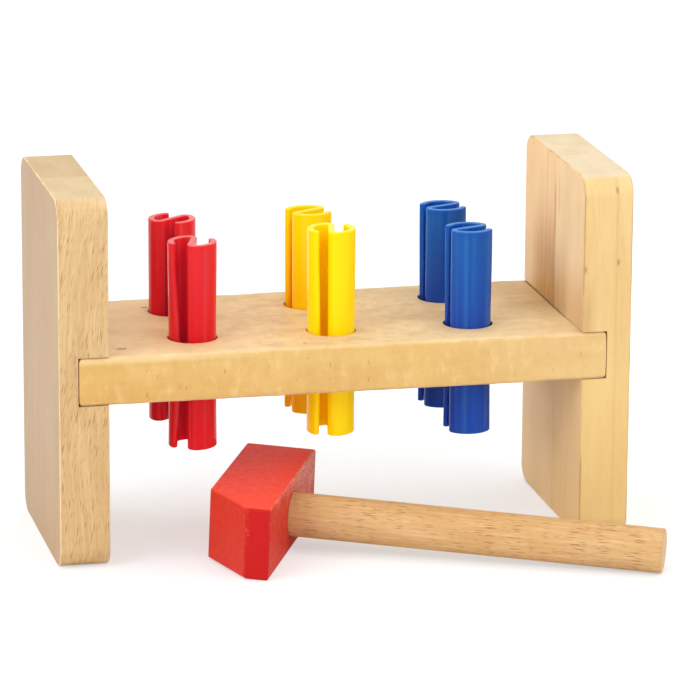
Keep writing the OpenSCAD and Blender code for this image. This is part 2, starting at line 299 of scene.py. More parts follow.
def beech(name, turn, tones, figure, shift, arris, washes=(), fleck=FLECK, roughness=0.5, gloss=0.3,
          wander=0.02, mottle=0.0, lean=0.0, all_round=False):
    """Beech: slow bands along the grain; rays are short dashes on one face and blocky patches on the next.

    tones holds a pale and a tan colour for the faces across the rays' depth, across their thickness and
    across the grain, figure the strengths of dashes, patches and streaks. Eased edges, where the normal lies
    between two faces, take the arris tone. Washes are tones with limits along the grain's axes: mostly stains,
    in places painted light and shade. Lean slopes the dashes, and mottle clouds their face. All round, the
    distance round a dowel, its girth, stands for the rays' thickness.
    """
    dashes, patches, streaks = figure
    material, tree = new_material(name)
    square, facing = grain_frame(tree, turn)
    on_end = remap(tree, facing[0], 0.8, 0.985)
    # the grain wanders: thickness is pushed sideways by a slow noise along the board
    sway = calc(tree, "SUBTRACT", noise(tree, scaled(tree, square, SWAY, shift), 1.0), 0.5)
    drift = add(tree, "CombineXYZ", {"Z": times(tree, sway, wander)})
    place = add(tree, "VectorMath", {0: square, 1: drift[0]}, operation="ADD")[0]
    if all_round:
        girth = mark(tree, "girth")
        along = parts(tree, place)[0]
        wrapped = add(tree, "CombineXYZ", {"X": along, "Z": girth})[0]
        place = tint(tree, on_end, wrapped, square)
    on_dash = calc(tree, "SUBTRACT", 1.0, on_end) if all_round else remap(tree, facing[1], 0.12, 0.4)
    on_patch = times(tree, remap(tree, facing[2], 0.5, 0.85), 0.0 if all_round else 1.0)
    bands, lines, fibres, grain, cloud, flake = (
        noise(tree, scaled(tree, place, scale, shift), detail, rough) for scale, detail, rough in (
            (BANDS, 4.0, 0.55), (LINES, 3.0, 0.6), (FIBRES, 2.0, 0.6),
            (GRAIN, 2.0, 0.6), (CLOUD, 3.0, 0.65), (FLAKE, 3.0, 0.65),
        )
    )
    # ray flecks: thin spindles along the grain, as deep as the board, in two sizes
    axes = parts(tree, place)
    across = calc(tree, "ADD", axes[2], times(tree, axes[0], lean))
    flat = add(tree, "CombineXYZ", {"X": axes[0], "Y": across})[0]
    crowd = remap(tree, noise(tree, scaled(tree, place, CROWD, shift), 1.0), 0.35, 0.65, 0.45, 1.0)
    long_ray = spindles(tree, scaled(tree, flat, LONG_RAY, shift), 0.1, 0.3, 0.08, 0.65)
    short_ray = spindles(tree, scaled(tree, flat, SHORT_RAY, shift), 0.12, 0.38, 0.2, 0.85)
    ray = calc(tree, "MAXIMUM", long_ray, times(tree, short_ray, 0.7))
    on_grain = times(tree, on_dash, dashes)
    dash = times(tree, times(tree, ray, crowd), on_grain)
    # silver grain on the patch face: soft flakes of light and dark, with a few fine dark lines
    side = add(tree, "CombineXYZ", {"X": axes[0], "Y": axes[1]})[0]
    tick = spindles(tree, scaled(tree, side, TICK, shift), 0.05, 0.2, 0.75, 1.0)
    on_flake = times(tree, on_patch, patches)
    on_cloud = times(tree, on_dash, mottle)
    # tones by face, then streaks and fibres
    pale_to_tan = remap(tree, bands, 0.3, 0.7)
    colour = tint(tree, pale_to_tan, *tones["dash"])
    colour = tint(tree, on_patch, colour, tint(tree, pale_to_tan, *tones["patch"]))
    colour = tint(tree, on_end, colour, tint(tree, pale_to_tan, *tones["end"]))
    colour = over(tree, colour, remap(tree, lines, 0.48, 0.78), remap(tree, on_end, 0.0, 1.0, streaks, 0.08), fleck)
    colour = over(tree, colour, remap(tree, fibres, 0.5, 0.8), remap(tree, on_patch, 0.0, 1.0, 0.14, 0.05), fleck)
    # lights and darks: a field from its middle to where it is full, the faces it shows on, its weight and tone
    for field, full, shown, weight, tone in (
        (grain, 0.3, on_grain, 0.25, LIGHT_GRAIN), (grain, 0.7, on_grain, 0.14, fleck),
        (cloud, 0.68, on_cloud, 1.0, LIGHT_CLOUD), (cloud, 0.34, on_cloud, 1.0, DARK_CLOUD),
        (flake, 0.7, on_flake, 0.35, LIGHT_FLAKE), (flake, 0.3, on_flake, 0.3, DARK_FLAKE),
    ):
        amount = times(tree, remap(tree, field, 0.5, full), shown)
        colour = over(tree, colour, amount, weight, tone)
    colour = over(tree, colour, times(tree, tick, on_flake), patches, fleck)
    colour = tint(tree, calc(tree, "MINIMUM", dash, 0.9), colour, fleck)
    uneven = remap(tree, lines, 0.35, 0.65, 0.8, 1.0)
    for wash_tone, strength, limits in washes:
        amount = times(tree, uneven, remap(tree, on_end, 0.0, 1.0, strength, 0.0))
        colour = wash(tree, colour, square, wash_tone, amount, limits)
    # eased edges: the product of two parts of the normal is largest halfway round an arris
    halfway = times(tree, facing[2], calc(tree, "MAXIMUM", facing[0], facing[1]))
    # the arris tone; on the left staves it is pale, as wear and painted highlight
    edge_tone, least, greatest = arris
    colour = over(tree, colour, remap(tree, halfway, 0.1, 0.36), remap(tree, crowd, 0.45, 1.0, least, greatest), edge_tone)
    relief = calc(tree, "SUBTRACT", fibres, times(tree, dash, 0.8))
    bump = add(tree, "Bump", {"Height": relief, "Strength": 0.15, "Distance": 0.0002})
    surface(tree, {
        "Base Color": colour, "Roughness": remap(tree, lines, 0.3, 0.7, roughness - 0.03, roughness + 0.04),
        "Specular IOR Level": gloss, "Normal": bump[0],
    })
    return material


def extruded_plastic(name, colour, deep, foot, highlight_tone, inside, carried, painted_glow):
    """Glossy extruded plastic: draw lines along Z, a slow drift of tone, and painted highlights on streaks and rims.

    Lower down the tone deepens into that of the foot, as painted shade. A part of the light is carried inside
    the wall, and red and yellow plastic is given a faint glow of painted light.
    """
    material, tree = new_material(name)
    sight = add(tree, "TexCoord")["Object"]
    lines = noise(tree, scaled(tree, sight, (900, 900, 5), (0, 0, 0)), 2.0, 0.5)
    drift = noise(tree, scaled(tree, sight, (70, 70, 14), (0, 0, 0)), 2.0, 0.5)
    rim = mark(tree, "rim")
    lip = mark(tree, "lip")
    height = parts(tree, sight)[2]
    blend = calc(tree, "ADD", times(tree, drift, 0.7), times(tree, lines, 0.3))
    tone = tint(tree, remap(tree, blend, 0.35, 0.65), colour, deep)
    # painted shade: lower down, the tone deepens into that of the foot
    tone = tint(tree, remap(tree, height, PEG_PALE_Z, PEG_FOOT_Z), tone, foot)
    # painted highlights: pale streaks along Z, and pale rims at the ends
    streak_highlight = remap(tree, noise(tree, scaled(tree, sight, (480, 480, 3), (0.3, 0.6, 0)), 1.0), 0.48, 0.78)
    tone = tint(tree, times(tree, streak_highlight, 0.35), tone, highlight_tone)
    tone = tint(tree, times(tree, lip, 0.5), tone, deep)
    tone = tint(tree, times(tree, rim, remap(tree, drift, 0.35, 0.65, 0.6, 0.95)), tone, highlight_tone)
    bump = add(tree, "Bump", {"Height": lines, "Strength": 0.08, "Distance": 0.0002})
    # painted light: the emission gives the red and yellow plastics a faint glow
    surface(tree, {
        "Base Color": tone, "Roughness": remap(tree, drift, 0.3, 0.7, 0.15, 0.27),
        "Specular IOR Level": 0.15, "Normal": bump[0], "Emission Color": painted_glow, "Emission Strength": 1.0,
        "Subsurface Weight": carried, "Subsurface Radius": inside, "Subsurface Scale": 0.006,
    })
    return material


def red_paint(name):
    """Red paint on a wooden block: a deeper nose, chipped edges, and a scuffed patch beside the handle.

    The handle's bore shows as a dark ring: the distance from the handle's axis, less its radius.
    """
    material, tree = new_material(name)
    sight = add(tree, "TexCoord")["Object"]
    local = add(tree, "Mapping", {
        "Vector": sight, "Location": (hammer_place * MM).tolist(), "Rotation": Matrix(hammer_spin.tolist()).to_euler(),
    }, vector_type="TEXTURE")[0]
    axes = parts(tree, local)
    mottle = noise(tree, sight, 4.0, 0.6, 420)
    speck = noise(tree, sight, 3.0, 0.7, 900)
    wear, side, nose, top = (mark(tree, key) for key in ("wear", "side", "nose", "top"))
    patchy = remap(tree, mottle, 0.3, 0.7)
    colour = tint(tree, patchy, *COAT)
    # painted light: the top face takes a lighter tone
    colour = tint(tree, top, colour, tint(tree, patchy, *COAT_TOP))
    colour = tint(tree, nose, colour, NOSE_RED)
    colour = over(tree, colour, remap(tree, speck, 0.66, 0.74), 0.6, PIT)
    colour = over(tree, colour, side, remap(tree, speck, 0.36, 0.58), BARE)
    colour = over(tree, colour, side, remap(tree, noise(tree, sight, 2.0, 0.6, 1300), 0.58, 0.68), DIRT)
    colour = over(tree, colour, wear, remap(tree, speck, 0.5, 0.6), CHIP)
    lift = calc(tree, "SUBTRACT", axes[2], HEAD_H / 2 * MM)
    reach = calc(tree, "SQRT", calc(tree, "ADD", calc(tree, "POWER", axes[1], 2.0), calc(tree, "POWER", lift, 2.0)))
    gap = remap(tree, calc(tree, "SUBTRACT", reach, HANDLE_R * MM), 0.0001, 0.0006, 0.9, 0.0)
    colour = over(tree, colour, gap, remap(tree, axes[0], -0.001, -0.0004), BORE_RING)
    relief = calc(tree, "ADD", times(tree, mottle, 0.5), times(tree, speck, 0.5))
    bump = add(tree, "Bump", {"Height": relief, "Strength": 0.2, "Distance": 0.0003})
    # painted light: PAINT_GLOW gives the paint a faint glow
    surface(tree, {
        "Base Color": colour, "Roughness": remap(tree, mottle, 0.3, 0.7, 0.42, 0.55),
        "Specular IOR Level": 0.22, "Normal": bump[0],
        "Emission Color": PAINT_GLOW, "Emission Strength": 1.0,
    })
    return material


# Panels and plank

def ease(depth, radius):
    """How far a rounded edge has drawn in at a depth below the face: a quarter circle."""
    inner = np.clip(radius - depth, 0, radius)
    return radius - np.sqrt(radius ** 2 - inner ** 2)


def run_between(start, end, count):
    """Points on a straight run from start up to, but not at, end."""
    return np.asarray(start, float) + np.linspace(0, 1, count, endpoint=False)[:, None] * np.subtract(end, start)


def quarter_arc(centre, radius, start):
    """Points on a quarter circle that runs clockwise, without its last one."""
    angle = start - np.pi / 2 * np.linspace(0, 1, EDGE_STEPS - 1, endpoint=False)
    return np.asarray(centre, float) + radius * np.stack([np.cos(angle), np.sin(angle)], 1)


def stave(node, side, front, housing, seed):
    """Half panel as a C-shaped section in X and Z, carried along Y from its rounded edge to the glue line.

    Within the corner radius of the edge the section's ends draw in by a quarter circle, and within the
    arris its faces do. The housing stays sharp, as it is cut after the panel is shaped.
    """
    low, high = (np.array(corner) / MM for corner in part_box(node))
    plank_low, plank_high = (np.array(corner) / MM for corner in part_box("plank"))
    thick, tall, r = high[0] - low[0], high[2] - low[2], PANEL_ARRIS
    floor_u, sill, head = thick - housing, plank_low[2], plank_high[2] + HOUSING_ROOM
    # section with u from the outer face to the inner one
    section = np.concatenate([
        run_between((0, r), (0, tall - r), OUTER_STEPS), quarter_arc((r, tall - r), r, np.pi),
        run_between((r, tall), (thick - r, tall), END_STEPS), quarter_arc((thick - r, tall - r), r, np.pi / 2),
        run_between((thick, tall - r), (thick, head), INNER_STEPS),
        run_between((thick, head), (floor_u, head), HOUSING_STEPS),
        run_between((floor_u, head), (floor_u, sill), END_STEPS),
        run_between((floor_u, sill), (thick, sill), HOUSING_STEPS),
        run_between((thick, sill), (thick, r), INNER_STEPS), quarter_arc((thick - r, r), r, 0.0),
        run_between((thick - r, 0), (r, 0), END_STEPS), quarter_arc((r, r), r, -np.pi / 2),
    ])
    u, z = section[:, 0], section[:, 1]
    near = np.concatenate([ease(np.linspace(0, r, EDGE_STEPS), r)[::-1], CORNER_ROWS, [PANEL_CORNER]])
    depth = np.concatenate([near, np.linspace(PANEL_CORNER, high[1] - low[1], FLAT_ROWS)[1:]])[:, None]
    # upper and lower thirds carry the corner, so that the housing's walls stay level
    lift = np.clip((z - head) / (tall - head), 0, 1) - np.clip((sill - z) / sill, 0, 1)
    corner = np.where(depth < PANEL_CORNER, ease(depth, PANEL_CORNER), 0)
    outer = np.clip(1 - u / r, 0, 1) * (u < r)
    inner = np.clip(1 - (thick - u) / r, 0, 1) * (u > thick - r)
    arris = np.where(depth < r, ease(depth, r), 0)
    width = u + arris * (outer - inner)
    height = z - corner * lift
    # a hand-sanded edge: the arris grows and shrinks a little along its run
    sample = np.stack(np.broadcast_arrays(width, depth + seed, height), -1).reshape(-1, 3)
    from_face = np.minimum(np.minimum(u, thick - u), 9)[None]
    near_edge = np.exp(-from_face / PANEL_FADE) * np.exp(-np.minimum(depth, 9) / PANEL_FADE)
    sanded = PANEL_SANDED * near_edge.reshape(-1) * (0.5 + 0.5 * lattice_noise(sample, 9.0, seed))
    rows = np.broadcast_to(depth, width.shape).reshape(-1) + sanded
    x = low[0] + width if side < 0 else high[0] - width
    y = low[1] + rows if front else high[1] - rows
    points = np.stack([x.reshape(-1), y, np.broadcast_to(height, width.shape).reshape(-1)], 1)
    return points, closed_grid(len(depth), len(section), (side < 0) != front)


def plank_stations(centres, low, high):
    """Grid lines from low to high, fine across the square about each hole's centre."""
    lines = []
    edges = [low] + [c + s * HOLE_SQUARE for c in centres for s in (-1, 1)] + [high]
    for k in range(len(edges) - 1):
        inside = k % 2 == 1
        count = HOLE_STEPS if inside else max(2, int(np.ceil((edges[k + 1] - edges[k]) / GRID_STEP)))
        lines.append(np.linspace(edges[k], edges[k + 1], count, endpoint=False))
    return np.concatenate(lines + [[high]])


def drilled_plank():
    """Board as a closed section in Y and Z carried along X; squares round the holes become rings of quads.

    The section is a rectangle whose four edges are rounded, with a radius that wanders along the board.
    Each ring of a hole blends a square's border into the hole's circle: (1 - t) square + t circle.
    """
    low, high = (np.array(corner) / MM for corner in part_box("plank"))
    pegs = {node: sum(np.array(corner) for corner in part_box(node))[:2] / 2 / MM for node in PEGS}
    columns_x = sorted({round(float(p[0]), 2) for p in pegs.values()})
    rows_y = sorted({round(float(p[1]), 2) for p in pegs.values()})
    half, r = HOLE_SQUARE, PLANK_ARRIS
    end = PLANK_END_R * np.array(PLANK_END_ROWS)
    x = plank_stations(columns_x, low[0] + PLANK_END_R, high[0] - PLANK_END_R)
    x = np.concatenate([low[0] + end, x, high[0] - end[::-1]])
    y = plank_stations(rows_y, low[1] + r, high[1] - r)
    arc = np.linspace(0, np.pi / 2, PLANK_STEPS)
    mid_z = (low[2] + high[2]) / 2
    wall = np.linspace(high[2] - r, low[2] + r, PLANK_STEPS)[1:-1]
    # one turn round the section: over the top to the back, down, under to the front, and up again
    round_y, round_z = r * np.sin(arc), r * np.cos(arc)
    back, front, top, under = high[1] - r, low[1] + r, high[2] - r, low[2] + r
    turn_y = np.concatenate([
        y, back + round_y[1:], np.full(len(wall), high[1]), back + round_z,
        y[::-1][1:], front - round_y[1:], np.full(len(wall), low[1]), front - round_z[:-1],
    ])
    turn_z = np.concatenate([
        np.full(len(y), high[2]), top + round_z[1:], wall, under - round_y,
        np.full(len(y) - 1, low[2]), under - round_z[1:], wall[::-1], top + round_y[:-1],
    ])
    count = len(turn_y)
    px = np.repeat(x, count)
    py, pz = np.tile(turn_y, len(x)), np.tile(turn_z, len(x))
    # wandering arris: points near a long edge are drawn in towards the middle of the section
    inset_y, inset_z = np.minimum(py - low[1], high[1] - py), np.minimum(pz - low[2], high[2] - pz)
    edge = np.exp(-np.hypot(inset_y, inset_z) / PLANK_FADE)
    waver = 0.5 + 0.5 * lattice_noise(np.stack([px, 0.3 * py, 0.3 * pz], 1), 11.0, 21)
    waver += 0.35 * lattice_noise(np.stack([px, py, pz], 1), 3.5, 22)
    pull = PLANK_SANDED * edge * np.clip(waver, 0, 1.3)
    py = py - pull * np.sign(py) * 0.8
    pz = pz - pull * np.sign(pz - mid_z)
    # ends: corners rounded in X and Z, and the right end a little bowed
    from_end = np.minimum(px - low[0], high[0] - px)
    tuck = np.where(from_end < PLANK_END_R, ease(from_end, PLANK_END_R), 0)
    pz = pz - np.sign(pz - mid_z) * tuck * np.where(px > 0, RIGHT_END_SHARE, 1.0)
    bow = PLANK_BOW * ((pz - mid_z) / (high[2] - mid_z)) ** 2 + 0.06 * lattice_noise(np.stack([pz, py, px], 1), 5.0, 23)
    px = np.where(px > high[0] - PLANK_END_R, px - np.clip(bow, 0, 0.6), px)
    points = np.stack([px, py, pz], 1)
    faces = grid_faces(len(x), count)[:, ::-1]
    keep = np.ones((len(x) - 1, count), bool)
    extra_points, extra_faces = [], []
    base = len(points)
    # a grid line's place over the top and its place underneath add up to this, as the turn runs back there
    mirror = 2 * len(y) + 2 * len(arc) + len(wall) - 3
    rings = np.linspace(0, 1, HOLE_RINGS + 1)[1:]
    for cx in columns_x:
        for cy in rows_y:
            i0, i1 = np.argmin(np.abs(x - (cx - half))), np.argmin(np.abs(x - (cx + half)))
            j0, j1 = np.argmin(np.abs(y - (cy - half))), np.argmin(np.abs(y - (cy + half)))
            under0, under1 = mirror - j1, mirror - j0
            rims = []
            for a, b, level in ((j0, j1, high[2]), (under0, under1, low[2])):
                keep[i0:i1, a:b] = False
                i, j = np.arange(i0, i1), np.arange(a, b)
                border = np.concatenate([
                    i * count + a, i1 * count + j, (i[::-1] + 1) * count + b, i0 * count + j[::-1] + 1,
                ])
                square = points[border]
                angle = np.arctan2(square[:, 1] - cy, square[:, 0] - cx)
                circle = np.stack([
                    cx + HOLE_R * np.cos(angle), cy + HOLE_R * np.sin(angle), np.full(len(angle), level),
                ], 1)
                ring = (1 - rings)[:, None, None] * square[None] + rings[:, None, None] * circle[None]
                index = np.concatenate([border, base + np.arange(ring.shape[0] * ring.shape[1])])
                quads = index[grid_faces(len(rings) + 1, len(border))]
                extra_faces.append(quads)
                extra_points.append(ring.reshape(-1, 3))
                rims.append(index[-len(border):])
                base += ring.shape[0] * ring.shape[1]
            top_rim, low_rim = rims
            # the lower border runs the other way round the hole, so it is matched by angle
            so_far = np.concatenate([points] + extra_points) - [cx, cy, 0]
            top_angle, low_angle = (np.arctan2(so_far[rim, 1], so_far[rim, 0]) for rim in (top_rim, low_rim))
            apart = np.abs(np.angle(np.exp(1j * (top_angle[:, None] - low_angle[None]))))
            match = low_rim[np.argmin(apart, axis=1)]
            wall_index = np.concatenate([top_rim, match])
            extra_faces.append(wall_index[grid_faces(2, len(top_rim))])
    shell = faces.reshape(len(x) - 1, count, 4)[keep]
    caps = [np.arange(count).tolist(), (np.arange(count)[::-1] + (len(x) - 1) * count).tolist()]
    points = np.concatenate([points] + extra_points)
    return points, shell.tolist() + np.concatenate(extra_faces).tolist() + caps


# Pegs

def s_midline(slot, spread):
    """Middle lines of the S and their left normals, one for each slot: web on X, bend, ring to the free end.

    The bend's centre lies on the ray from the axis at which bend and ring touch. The ring's radius grows
    with the square of the way to its free end, by the spread. The second half is the first one turned by
    180 degrees.
    """
    ring_r = PEG_R - PEG_WALL / 2
    bend_x = np.sqrt((ring_r - PEG_BEND_R) ** 2 - PEG_BEND_R ** 2)
    touch = np.arctan2(PEG_BEND_R, bend_x)
    free_end = np.pi - np.arcsin((slot + PEG_WALL) / ring_r)
    bend = np.broadcast_to(np.linspace(-np.pi / 2, touch, BEND_STEPS), (len(slot), BEND_STEPS))
    way = np.linspace(0, 1, RING_STEPS)[1:]
    ring = touch + (free_end - touch)[:, None] * way
    reach = ring_r + spread[:, None] * way ** 2
    round_bend = np.stack([np.cos(bend), np.sin(bend)], 2)
    round_ring = np.stack([np.cos(ring), np.sin(ring)], 2)
    half = np.concatenate([[bend_x, PEG_BEND_R] + PEG_BEND_R * round_bend, reach[:, :, None] * round_ring], 1)
    half_normal = -np.concatenate([round_bend, round_ring], 1)
    web = np.linspace(-bend_x, bend_x, WEB_STEPS)[1:-1]
    web_points = np.broadcast_to(np.stack([web, np.zeros_like(web)], 1), (len(slot), len(web), 2))
    web_normal = np.broadcast_to([0.0, 1.0], web_points.shape)
    middle = np.concatenate([-half[:, ::-1], web_points, half], 1)
    normal = np.concatenate([half_normal[:, ::-1], web_normal, half_normal], 1)
    return middle, normal


def s_peg(length, turn, upended, slot, squeeze, hole_at):
    """S-section carried along Z, its rims rounded: rings of the outline, moved in by a quarter circle.

    The wall is sprung: in the plank the slot is narrower by the squeeze and the free ends are pinched in,
    while at both ends of the peg they spread a little.
    """
    round_in = np.linspace(0, np.pi / 2, EDGE_STEPS)
    rim_inset = PEG_RIM * (1 - np.sin(round_in))
    rim_height = PEG_RIM * (1 - np.cos(round_in))
    straight = np.linspace(PEG_RIM, length - PEG_RIM, PEG_STEPS)[1:-1]
    inset = np.concatenate([rim_inset, np.zeros_like(straight), rim_inset[::-1]])
    height = np.concatenate([rim_height, straight, length - rim_height[::-1]])
    from_plank = np.abs((length - height if upended else height) - hole_at)
    free = np.clip(from_plank / PEG_FREE_RUN, 0, 1) ** 1.5
    middle, normal = s_midline(slot - squeeze * (1 - free), PEG_SPREAD * free - PEG_PINCH * (1 - free))
    count = middle.shape[1]
    cap = np.linspace(0, np.pi, CAP_STEPS)[1:-1]
    ahead = np.stack([normal[:, :, 1], -normal[:, :, 0]], 2)
    cosine, sine = np.cos(cap)[None, :, None], np.sin(cap)[None, :, None]
    end_cap = normal[:, -1:] * cosine + ahead[:, -1:] * sine
    start_cap = -normal[:, :1] * cosine - ahead[:, :1] * sine
    centre = np.concatenate([
        middle, np.repeat(middle[:, -1:], len(cap), 1), middle[:, ::-1], np.repeat(middle[:, :1], len(cap), 1),
    ], 1)
    outward = np.concatenate([normal, end_cap, -normal[:, ::-1], start_cap], 1)
    ring = centre + outward * (PEG_WALL / 2 - inset)[:, None, None]
    columns = ring.shape[1]
    level = np.broadcast_to(height[:, None, None], ring.shape[:2] + (1,))
    points = np.concatenate([ring, level], 2).reshape(-1, 3)
    if upended:
        points = points * [1, -1, -1] + [0, 0, length]
    # the outline runs clockwise seen from above, so the quads are turned
    sides = grid_faces(len(height), columns)[:, ::-1]
    left = np.arange(count - 1)
    right = 2 * count + len(cap) - 1 - left
    strip = np.stack([left, left + 1, right - 1, right], 1)
    end_fan = np.concatenate([[count - 1], np.arange(count, count + len(cap)), [count + len(cap)]])
    start_fan = np.concatenate([[2 * count + len(cap) - 1], np.arange(2 * count + len(cap), columns), [0]])
    top = (len(height) - 1) * columns
    faces = sides.tolist() + strip.tolist() + [end_fan.tolist(), start_fan.tolist()]
    faces += (strip[:, ::-1] + top).tolist() + [(fan[::-1] + top).tolist() for fan in (end_fan, start_fan)]
    angle = np.radians(turn)
    spin = np.array([[np.cos(angle), -np.sin(angle), 0], [np.sin(angle), np.cos(angle), 0], [0, 0, 1]])
    from_end = np.minimum(points[:, 2], length - points[:, 2])
    rim = np.clip(1 - from_end / (0.5 * PEG_RIM), 0, 1)
    lip = np.clip(1 - np.abs(from_end - PEG_RIM) / PEG_RIM, 0, 1)
    return points @ spin.T, faces, {"rim": rim, "lip": lip}


# Hammer

def hammer_pose():
    """Turn and place of the lying hammer: on the edge under its handle side and on the handle's end."""
    low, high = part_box("yellow_peg_front")
    peg = (np.array(low) + np.array(high))[:2] / 2 / MM
    tilt = np.arctan((HEAD_H / 2 - HANDLE_R) / HANDLE_FREE)
    turn = np.radians(HAMMER_TURN)
    along_handle = np.array([np.cos(turn), -np.sin(turn)])
    along_head = np.array([np.sin(turn), np.cos(turn)])
    clear = PEG_R + HAMMER_GAP
    place = peg - along_handle * (clear + HEAD_H * np.sin(tilt)) - along_head * (clear + HANDLE_R)
    spin = np.array(Matrix.Rotation(-turn, 3, "Z") @ Matrix.Rotation(tilt, 3, "Y"))
    return spin, np.append(place, 0.0)


def lay(points):
    """Moves hammer points from the middle of the head's handle-side face to where they lie."""
    return (points + [0, 0, HEAD_H / 2]) @ hammer_spin.T + hammer_place


def rounded_outline(corners, radius, step):
    """Polygon with arcs at its corners, sampled about every step; returns points and outward normals."""
    corners = np.asarray(corners, float)
    ahead = np.roll(corners, -1, 0) - corners
    length = np.linalg.norm(ahead, axis=1)
    ahead /= length[:, None]
    outward = np.stack([ahead[:, 1], -ahead[:, 0]], 1)
    before = np.roll(outward, 1, 0)
    turn = (before + outward) / (1 + np.sum(before * outward, 1))[:, None]
    centre = corners - radius * turn
    points, normals = [], []
    for k in range(len(corners)):
        start = np.arctan2(before[k, 1], before[k, 0])
        sweep = (np.arctan2(outward[k, 1], outward[k, 0]) - start) % (2 * np.pi)
        arc = start + sweep * np.linspace(0, 1, EDGE_STEPS)
        ring = np.stack([np.cos(arc), np.sin(arc)], 1)
        points.append(centre[k] + radius * ring)
        normals.append(ring)
        nxt = centre[(k + 1) % len(corners)]
        run = np.linspace(0, 1, max(int(np.linalg.norm(nxt - centre[k]) / step), 2) + 1)[1:-1]
        points.append(centre[k] + radius * outward[k] + run[:, None] * (nxt - centre[k]))
        normals.append(np.tile(outward[k], (len(run), 1)))
    return np.concatenate(points), np.concatenate(normals)


def hammer_head():
    """Block with a sloped nose: its rounded outline carried up Z, rims rounded, flat faces as shrinking rings.

    wear marks the edges, side the scuffed patch high on the handle's side, nose and top those faces.
    """
    corners = [
        (-HEAD_W, HEAD_L / 2), (-HEAD_W, HEAD_SLOPE - HEAD_L / 2), (-HEAD_NOSE, -HEAD_L / 2),
        (0, -HEAD_L / 2), (0, HEAD_L / 2),
    ]
    outline, outward = rounded_outline(corners, HEAD_EDGE, HEAD_STEP)
    middle = outline.mean(0)
    half = HEAD_H / 2
    arc = np.linspace(0, np.pi / 2, EDGE_STEPS)
    shrink = np.concatenate([np.linspace(0.04, 0.96, HEAD_RINGS), [0.99]])
    flat = middle + (outline - outward * HEAD_EDGE - middle)[None] * shrink[:, None, None]
    rim = outline[None] - outward[None] * (HEAD_EDGE * (1 - np.sin(arc)))[:, None, None]
    rim_z = half - HEAD_EDGE * (1 - np.cos(arc))
    wall_z = np.linspace(-half + HEAD_EDGE, half - HEAD_EDGE, HEAD_ROWS)[1:-1]
    wall = np.broadcast_to(outline, (len(wall_z),) + outline.shape)
    rings = np.concatenate([flat, rim, wall, rim[::-1], flat[::-1]])
    heights = np.concatenate([np.full(len(flat), -half), -rim_z, wall_z, rim_z[::-1], np.full(len(flat), half)])
    points = np.concatenate([rings, np.broadcast_to(heights[:, None, None], rings.shape[:2] + (1,))], 2)
    columns = points.shape[1]
    points = points.reshape(-1, 3)
    # distance from the nearest edge: along Z to the rims, and along the outline to its corners
    corner_gap = np.min(np.linalg.norm(points[:, None, :2] - np.asarray(corners)[None], axis=2), axis=1)
    rim_gap = half - np.abs(points[:, 2])
    off_side = np.sum((points[:, None, :2] - outline[None, ::9]) * outward[None, ::9], axis=2)
    side_gap = np.min(np.abs(off_side), axis=1)
    on_wall = np.repeat(np.abs(heights) < half - 1e-6, columns)
    edge_gap = np.where(on_wall, np.minimum(corner_gap, rim_gap), side_gap)
    wear = np.clip(1.0 - edge_gap / HEAD_EDGE, 0, 1) * np.clip(0.1 + 1.3 * lattice_noise(points, 3.0, 5), 0, 1)
    patch = -0.3 + points[:, 2] / 10 + points[:, 1] / 40 + 0.35 * lattice_noise(points, 5.0, 8)
    side = np.clip((points[:, 0] + 1.0) / 0.8, 0, 1) * np.clip(patch, 0, 1)
    nose = np.clip((1.2 - HEAD_L / 2 - points[:, 1]) / 0.8, 0, 1)
    top = np.clip((points[:, 2] - half + 0.6) / 0.5, 0, 1)
    return lay(points), closed_grid(len(heights), columns), {"wear": wear, "side": side, "nose": nose, "top": top}


def hammer_handle():
    """Dowel along local X: a circle carried along its axis, with eased ends closed by shrinking rings."""
    arc = np.linspace(0, np.pi / 2, EDGE_STEPS - 1)
    end_x = HANDLE_FREE - HANDLE_EDGE * (1 - np.sin(arc))
    end_r = HANDLE_R - HANDLE_EDGE * (1 - np.cos(arc))
    shaft = np.linspace(-HANDLE_SOCKET, HANDLE_FREE - HANDLE_EDGE, HANDLE_STEPS)[:-1]
    flat_r = np.array([0.97, 0.8, 0.6, 0.4, 0.2, 0.05]) * (HANDLE_R - HANDLE_EDGE)
    start_r = np.array([0.05, 0.5, 0.97]) * HANDLE_R
    x = np.concatenate([np.full(len(start_r), -HANDLE_SOCKET), shaft, end_x, np.full(len(flat_r), HANDLE_FREE)])
    r = np.concatenate([start_r, np.full(len(shaft), HANDLE_R), end_r, flat_r])
    theta = np.linspace(-np.pi / 2, 3 * np.pi / 2, HANDLE_SIDES + 1)[:-1]
    round_y, round_z = r[:, None] * np.cos(theta), r[:, None] * np.sin(theta)
    points = np.stack(np.broadcast_arrays(x[:, None], round_y, round_z), -1).reshape(-1, 3)
    girth = np.tile(theta * HANDLE_R * MM, len(x))
    return lay(points), closed_grid(len(x), len(theta), True), {"girth": girth}


# Stage

def place_camera():
    """Camera at the photograph's view: X to the right, Y up and Z back along its line of sight."""
    yaw, pitch, roll = CAMERA_YAW, CAMERA_PITCH, CAMERA_ROLL
    ahead = np.array([np.sin(yaw) * np.cos(pitch), np.cos(yaw) * np.cos(pitch), -np.sin(pitch)])
    right = np.array([np.cos(yaw), -np.sin(yaw), 0.0])
    up = np.cross(right, ahead)
    right, up = np.cos(roll) * right + np.sin(roll) * up, np.cos(roll) * up - np.sin(roll) * right
    lens = bpy.data.cameras.new("photo_view")
    lens.sensor_width = SENSOR_MM
    lens.lens = CAMERA_FOCAL_PX / FRAME_PX * SENSOR_MM
    lens.clip_start, lens.clip_end = 0.05, 20.0
    camera = bpy.data.objects.new("photo_view", lens)
    turn = Matrix(np.stack([right, up, -ahead], 1).tolist()).to_4x4()
    camera.matrix_world = Matrix.Translation([v * MM for v in CAMERA_PLACE]) @ turn
    bpy.context.scene.collection.objects.link(camera)
    bpy.context.scene.camera = camera


